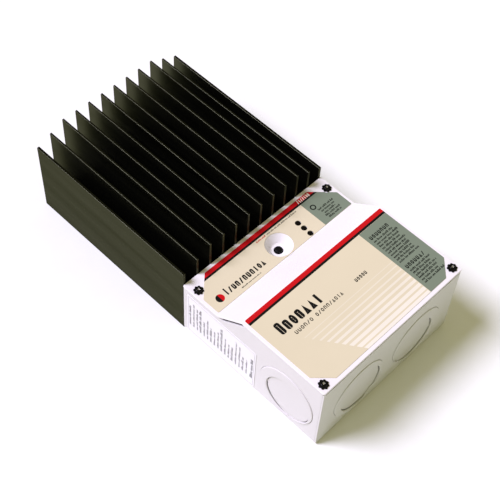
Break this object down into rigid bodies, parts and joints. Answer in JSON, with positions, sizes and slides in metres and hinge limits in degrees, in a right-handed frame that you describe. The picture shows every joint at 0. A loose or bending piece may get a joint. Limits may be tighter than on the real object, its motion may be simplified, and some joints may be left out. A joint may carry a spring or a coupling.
{
  "type": "charge controller",
  "caption": "Wall-mounted solar charge controller: finned black heat sink, white sheet-metal wiring box with knockouts, stepped lift-off cover, push button and clamp terminals.",
  "frame": {"origin": "centre of the bounding box at the height of the flat back that goes against the wall", "axes": "+Y from the wiring box to the far end of the heat sink (up when mounted), +Z out from the wall through the cover, +X to the right as seen from the front"},
  "size_m": [0.127, 0.2607, 0.071],
  "materials": {
    "anodised_aluminium": "black anodised, satin, with a warm olive sheen",
    "powder_coat": "white powder coat with a fine orange-peel texture",
    "cover_label_film": "printed polyester overlay, cream with red, black and grey-green areas",
    "side_label_film": "white printed film with grey text lines",
    "black_screw_steel": "black oxide, lightly worn at the cross recess",
    "board_laminate": "green solder mask",
    "zinc_steel": "zinc plated",
    "tinned_metal": "tin plated, satin",
    "bright_steel": "plain steel with a hexagon socket",
    "black_plastic": "moulded, fine satin",
    "smoked_lens": "dark diffused lens",
    "red_plastic": "moulded, semi-gloss",
    "white_plastic": "moulded, semi-gloss",
    "green_plastic": "moulded, satin",
    "can_sleeve": "shrink sleeve with a bare metal top"
  },
  "bodies": {
    "controller": {"heat_sink": "anodised_aluminium", "wiring_box": "powder_coat", "knockout_left": "powder_coat", "knockout_right": "powder_coat", "knockout_end_left": "powder_coat", "knockout_end_right": "powder_coat", "spec_label": "side_label_film", "circuit_board": "board_laminate", "board_screw_1": "zinc_steel", "board_screw_2": "zinc_steel", "board_screw_3": "zinc_steel", "board_screw_4": "zinc_steel", "clamp_bar_screw": "zinc_steel", "box_screw_1": "zinc_steel", "box_screw_2": "zinc_steel", "transistor_clamp": "zinc_steel", "serial_port": "zinc_steel", "terminal_1_lug": "tinned_metal", "terminal_2_lug": "tinned_metal", "terminal_3_lug": "tinned_metal", "terminal_4_lug": "tinned_metal", "ground_lug": "tinned_metal", "button_switch": "black_plastic", "meter_jack": "black_plastic", "power_transistor_1": "black_plastic", "power_transistor_2": "black_plastic", "status_led_1": "smoked_lens", "status_led_2": "smoked_lens", "status_led_3": "smoked_lens", "dip_switch": "red_plastic", "sense_terminals": "green_plastic", "sensor_terminals": "green_plastic", "capacitor_1": "can_sleeve", "capacitor_2": "can_sleeve"},
    "cover": {"front_cover": "powder_coat", "upper_label": "cover_label_film", "lower_label": "cover_label_film", "cover_screw_1": "black_screw_steel", "cover_screw_2": "black_screw_steel", "cover_screw_3": "black_screw_steel", "cover_screw_4": "black_screw_steel"},
    "push_button": {"push_button": "black_plastic"},
    "dip_slider_1": {"dip_slider_1": "white_plastic"},
    "dip_slider_2": {"dip_slider_2": "white_plastic"},
    "dip_slider_3": {"dip_slider_3": "white_plastic"},
    "dip_slider_4": {"dip_slider_4": "white_plastic"},
    "dip_slider_5": {"dip_slider_5": "white_plastic"},
    "dip_slider_6": {"dip_slider_6": "white_plastic"},
    "dip_slider_7": {"dip_slider_7": "white_plastic"},
    "dip_slider_8": {"dip_slider_8": "white_plastic"},
    "terminal_1_plate": {"terminal_1_plate": "zinc_steel"},
    "terminal_1_screw": {"terminal_1_screw": "bright_steel"},
    "terminal_2_plate": {"terminal_2_plate": "zinc_steel"},
    "terminal_2_screw": {"terminal_2_screw": "bright_steel"},
    "terminal_3_plate": {"terminal_3_plate": "zinc_steel"},
    "terminal_3_screw": {"terminal_3_screw": "bright_steel"},
    "terminal_4_plate": {"terminal_4_plate": "zinc_steel"},
    "terminal_4_screw": {"terminal_4_screw": "bright_steel"},
    "ground_plate": {"ground_plate": "zinc_steel"},
    "ground_screw": {"ground_screw": "bright_steel"}
  },
  "joints": [
    {"name": "cover_lift", "type": "slide", "parent": "controller", "child": "cover", "axis": [0, 0, 1], "range_m": [0, 0.08]},
    {"name": "button_press", "type": "slide", "parent": "controller", "child": "push_button", "axis": [0, 0, -1], "range_m": [0, 0.001], "stiffness_N_per_m": 400, "springref_m": -0.001},
    {"name": "dip_1_slide", "type": "slide", "parent": "controller", "child": "dip_slider_1", "axis": [0, 1, 0], "range_m": [0, 0.0018]},
    {"name": "dip_2_slide", "type": "slide", "parent": "controller", "child": "dip_slider_2", "axis": [0, 1, 0], "range_m": [0, 0.0018]},
    {"name": "dip_3_slide", "type": "slide", "parent": "controller", "child": "dip_slider_3", "axis": [0, 1, 0], "range_m": [0, 0.0018]},
    {"name": "dip_4_slide", "type": "slide", "parent": "controller", "child": "dip_slider_4", "axis": [0, 1, 0], "range_m": [0, 0.0018]},
    {"name": "dip_5_slide", "type": "slide", "parent": "controller", "child": "dip_slider_5", "axis": [0, 1, 0], "range_m": [0, 0.0018]},
    {"name": "dip_6_slide", "type": "slide", "parent": "controller", "child": "dip_slider_6", "axis": [0, 1, 0], "range_m": [0, 0.0018]},
    {"name": "dip_7_slide", "type": "slide", "parent": "controller", "child": "dip_slider_7", "axis": [0, 1, 0], "range_m": [0, 0.0018]},
    {"name": "dip_8_slide", "type": "slide", "parent": "controller", "child": "dip_slider_8", "axis": [0, 1, 0], "range_m": [0, 0.0018]},
    {"name": "terminal_1_clamp", "type": "slide", "parent": "controller", "child": "terminal_1_plate", "axis": [0, 0, -1], "range_m": [0, 0.006]},
    {"name": "terminal_1_turn", "type": "hinge", "parent": "terminal_1_plate", "child": "terminal_1_screw", "pos_m": [-0.042, -0.0682, 0.05], "axis": [0, 0, -1], "range_deg": [0, 1730]},
    {"name": "terminal_2_clamp", "type": "slide", "parent": "controller", "child": "terminal_2_plate", "axis": [0, 0, -1], "range_m": [0, 0.006]},
    {"name": "terminal_2_turn", "type": "hinge", "parent": "terminal_2_plate", "child": "terminal_2_screw", "pos_m": [-0.016, -0.0682, 0.05], "axis": [0, 0, -1], "range_deg": [0, 1730]},
    {"name": "terminal_3_clamp", "type": "slide", "parent": "controller", "child": "terminal_3_plate", "axis": [0, 0, -1], "range_m": [0, 0.006]},
    {"name": "terminal_3_turn", "type": "hinge", "parent": "terminal_3_plate", "child": "terminal_3_screw", "pos_m": [0.016, -0.0682, 0.05], "axis": [0, 0, -1], "range_deg": [0, 1730]},
    {"name": "terminal_4_clamp", "type": "slide", "parent": "controller", "child": "terminal_4_plate", "axis": [0, 0, -1], "range_m": [0, 0.006]},
    {"name": "terminal_4_turn", "type": "hinge", "parent": "terminal_4_plate", "child": "terminal_4_screw", "pos_m": [0.042, -0.0682, 0.05], "axis": [0, 0, -1], "range_deg": [0, 1730]},
    {"name": "ground_clamp", "type": "slide", "parent": "controller", "child": "ground_plate", "axis": [0, 0, -1], "range_m": [0, 0.004]},
    {"name": "ground_turn", "type": "hinge", "parent": "ground_plate", "child": "ground_screw", "pos_m": [-0.05, -0.0882, 0.01], "axis": [0, 0, -1], "range_deg": [0, 1802]}
  ],
  "couplings": [
    {"joint": "terminal_1_turn", "follows": "terminal_1_clamp", "rad_per_m": 5026.5},
    {"joint": "terminal_2_turn", "follows": "terminal_2_clamp", "rad_per_m": 5026.5},
    {"joint": "terminal_3_turn", "follows": "terminal_3_clamp", "rad_per_m": 5026.5},
    {"joint": "terminal_4_turn", "follows": "terminal_4_clamp", "rad_per_m": 5026.5},
    {"joint": "ground_turn", "follows": "ground_clamp", "rad_per_m": 7854}
  ]
}
